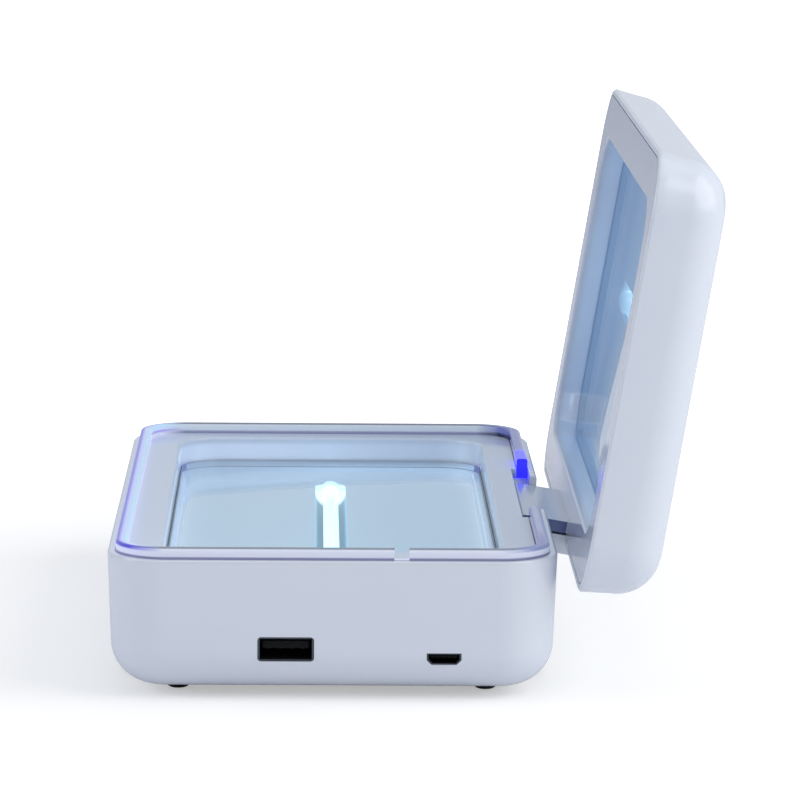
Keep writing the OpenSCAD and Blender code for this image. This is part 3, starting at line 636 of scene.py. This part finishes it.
def lit_chip():
    """Blue light source: a lit chip in clear resin."""
    material, tree = new_material("blue light source")
    shader = add_node(tree, "BsdfPrincipled", {"Base Color": srgb("#3a3cff"), "Roughness": 0.2,
                      "Emission Color": srgb("#2b2bff"), "Emission Strength": 1.3})
    add_node(tree, "OutputMaterial", links={"Surface": shader.outputs[0]})
    return material


def lit_silicone():
    """Milky silicone round the tube's ends, lit through by the lamp."""
    material, tree = new_material("lit milky silicone")
    bump = grain_bump(tree, 0.8, 0.02, 0.2)
    shader = add_node(tree, "BsdfPrincipled", {"Base Color": srgb("#e6f2f8"), "Roughness": 0.45,
                      "IOR": 1.41, "Emission Color": srgb("#dff6ff"), "Emission Strength": 0.9},
                      {"Normal": bump.outputs[0]})
    add_node(tree, "OutputMaterial", links={"Surface": shader.outputs[0]})
    return material


blue_chip = lit_chip()
silicone = lit_silicone()
for index in (1, 2, 3, 4):
    smooth_copy("foot_%d" % index, "base", foot_rubber)
    smooth_copy("case_screw_%d" % index, "base", nickel)
button_skin = smooth_copy("start_button", "button", button_abs)
hidden_finishes = {
    "hinge_pin": pin_steel, "washer_near": nickel, "washer_far": nickel,
    "base_lamp_holder_near": silicone, "base_lamp_holder_far": silicone,
    "lid_lamp_holder_near": silicone, "lid_lamp_holder_far": silicone,
    "ring_led_near": blue_chip, "ring_led_far": blue_chip, "main_board": solder_resist,
    "switch_board": solder_resist, "switch_body": black_resin, "lamp_driver": black_resin,
    "lid_sensor": black_resin, "lid_magnet": magnet_plate}
for node_name, material in hidden_finishes.items():
    nodes[node_name].data.materials.clear()
    nodes[node_name].data.materials.append(material)
print("nodes finished as they are:", len(hidden_finishes))

# %% [markdown]
# The two sockets in the near end look black, because little light finds its way in, and
# that shade is painted: the steel is painted dark, and the steel walls inside each mouth
# take the black finish. Each starts as one flat outline that is extruded into a block. Its
# mouth is inset by the sheet steel's thickness and pushed in, so steel shows only as a thin
# rim. Inside, a nylon tongue carries the contacts, four in the large socket and five in the
# small one.

# %% Sockets
def add_block(bm, low, high, finish):
    """Box between two corners, with a material slot."""
    low, high = Vector(low), Vector(high)
    block = bmesh.ops.create_cube(bm, size=1, matrix=Matrix.Translation((low + high) / 2)
                                  @ Matrix.Diagonal((*(high - low), 1)))
    for face in {f for v in block["verts"] for f in v.link_faces}:
        face.material_index = finish


def make_socket(name, outline, can_height, sheet, tongue, contacts):
    """Steel can drawn from its outline, hollow from its mouth, with a tongue and contacts."""
    low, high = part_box(name)
    contact = 0.15 * MM
    depth, width = high.x - low.x, high.y - low.y
    middle = Vector((high.x, (low.y + high.y) / 2, high.z - can_height / 2))
    bm = bmesh.new()
    points = [bm.verts.new(middle + Vector((0, y * width, z * can_height))) for y, z in outline]
    mouth = bmesh.ops.contextual_create(bm, geom=points)["faces"][0]
    back = bmesh.ops.extrude_face_region(bm, geom=[mouth], use_keep_orig=True)
    rear = [v for v in back["geom"] if isinstance(v, bmesh.types.BMVert)]
    bmesh.ops.translate(bm, vec=(-depth, 0, 0), verts=rear)
    bmesh.ops.inset_individual(bm, faces=[mouth], thickness=sheet)
    inner = bmesh.ops.extrude_discrete_faces(bm, faces=[mouth])["faces"][0]
    bmesh.ops.translate(bm, vec=(sheet - depth, 0, 0), verts=inner.verts)
    # Painted shade: the steel walls inside the mouth take the black finish.
    for face in {f for v in inner.verts for f in v.link_faces}:
        face.material_index = 1
    half, top = width / 2 - 3 * sheet, middle.z + can_height / 2 - 3 * sheet
    left, right, under = middle.y - half, middle.y + half, top - tongue
    root, tip = low.x + sheet, high.x - 1.5 * MM
    add_block(bm, (root, left, under), (tip, right, top), 1)
    add_block(bm, (low.x, left, low.z), (low.x + depth / 2, right, middle.z - can_height / 2), 1)
    for index in range(contacts):
        place = middle.y + half * ((2 * index + 1) / contacts - 1)
        reach = half * 0.3 / contacts
        add_block(bm, (root, place - reach, under - contact),
                  (tip - 0.5 * MM, place + reach, under), 2)
    return finish_piece(name + "_metal", bm, Matrix.Identity(4), "base",
                        (port_steel, black_nylon_and_shade, gold), (name,), smooth=False)


large_outline = ((-0.5, -0.5), (0.5, -0.5), (0.5, 0.5), (-0.5, 0.5))
small_outline = ((-0.5, 0.5), (0.5, 0.5), (0.5, -0.1), (0.37, -0.5), (-0.37, -0.5), (-0.5, -0.1))
large_socket = make_socket("usb_a_socket", large_outline, 5.7 * MM, 0.35 * MM, 1.8 * MM, 4)
small_socket = make_socket("micro_usb_socket", small_outline, 2.6 * MM, 0.2 * MM, 0.6 * MM, 5)
print("large socket faces:", len(large_socket.data.polygons))

# %% [markdown]
# The box stands on a plain floor in soft light. The floor has to stay white around the
# object while it keeps a faint soft shadow, so for the camera and for what is seen through
# glass it is mostly light of its own, and none of that reaches the object. Mirrored in the
# glossy plastic, a white room would wash its colour out, so reflections see a grey one. A
# large softbox stands to the right and above, a second hangs overhead, and two weaker ones
# fill in from the left and from the camera's side.

# %% Floor, world and lamps
FLOOR_GLOW = 0.42
HAZE_FROM, HAZE_TO = 110, 450


def seen_and_mirrored(tree):
    """1 for camera and glass rays, and 1 for mirrored rays; light for the object gets 0."""
    path = add_node(tree, "LightPath")
    seen = calculate(tree, "MAXIMUM", path.outputs["Is Camera Ray"],
                     path.outputs["Is Transmission Ray"])
    return seen, path.outputs["Is Glossy Ray"]


def make_floor():
    """Wide pale floor at the height of the table."""
    bm = bmesh.new()
    bmesh.ops.create_grid(bm, x_segments=1, y_segments=1, size=9)
    mesh = bpy.data.meshes.new("floor")
    bm.to_mesh(mesh)
    bm.free()
    floor = bpy.data.objects.new("floor", mesh)
    bpy.context.scene.collection.objects.link(floor)
    material, tree = new_material("pale floor")
    seen = seen_and_mirrored(tree)[0]
    paint = add_node(tree, "MixRGB", {1: srgb("#f3f3f5"), 2: (0.72, 0.71, 0.68, 1)}, {0: seen})
    matt = add_node(tree, "BsdfDiffuse", links={"Color": paint.outputs[0]})
    place = add_node(tree, "TexCoord")
    away = add_node(tree, "VectorMath", {"operation": "LENGTH"}, {0: place.outputs["Object"]})
    haze = ease(tree, away.outputs["Value"], HAZE_FROM, HAZE_TO, FLOOR_GLOW, 1.0)
    glow = add_node(tree, "Emission", {"Color": srgb("#ffffff")},
                    {"Strength": calculate(tree, "MULTIPLY", seen, haze)})
    both = add_node(tree, "AddShader", links={0: matt.outputs[0], 1: glow.outputs[0]})
    add_node(tree, "OutputMaterial", links={"Surface": both.outputs[0]})
    mesh.materials.append(material)
    return floor


def softbox(name, place, size, power, colour="#ffffff"):
    """Square area lamp that looks at the middle of the box."""
    data = bpy.data.lights.new(name, "AREA")
    data.shape = "SQUARE"
    data.size = size
    data.energy = power
    data.color = srgb(colour)[:3]
    lamp = bpy.data.objects.new(name, data)
    lamp.location = place
    lamp.rotation_euler = (Vector((0, 0.02, 0.05)) - Vector(place)).to_track_quat("-Z", "Y").to_euler()
    lamp.visible_camera = False
    bpy.context.scene.collection.objects.link(lamp)
    return lamp


floor = make_floor()
softbox("right softbox", (0.4, 1.3, 1.0), 1.6, 17.5, "#fefeff")
softbox("top softbox", (-0.3, 0.1, 1.7), 1.3, 3.2, "#f8faff")
softbox("left fill", (0.4, -1.5, 0.7), 0.9, 6, "#f4f6ff")
softbox("camera fill", (1.9, -0.3, 0.9), 0.9, 1.0, "#f6f8ff")
world = bpy.data.worlds.new("studio")
world.use_nodes = True
world.node_tree.nodes.clear()
seen, mirrored = seen_and_mirrored(world.node_tree)
grey = add_node(world.node_tree, "MixRGB", {1: srgb("#a2a7b2"), 2: srgb("#ccd3dc")}, {0: mirrored})
room = add_node(world.node_tree, "MixRGB", {2: srgb("#ffffff")}, {0: seen, 1: grey.outputs[0]})
sky = add_node(world.node_tree, "Background", {"Strength": 1.0}, {"Color": room.outputs[0]})
add_node(world.node_tree, "OutputWorld", links={"Surface": sky.outputs[0]})
bpy.context.scene.world = world
bpy.context.scene.view_settings.view_transform = "Standard"
print("lamps:", 4)
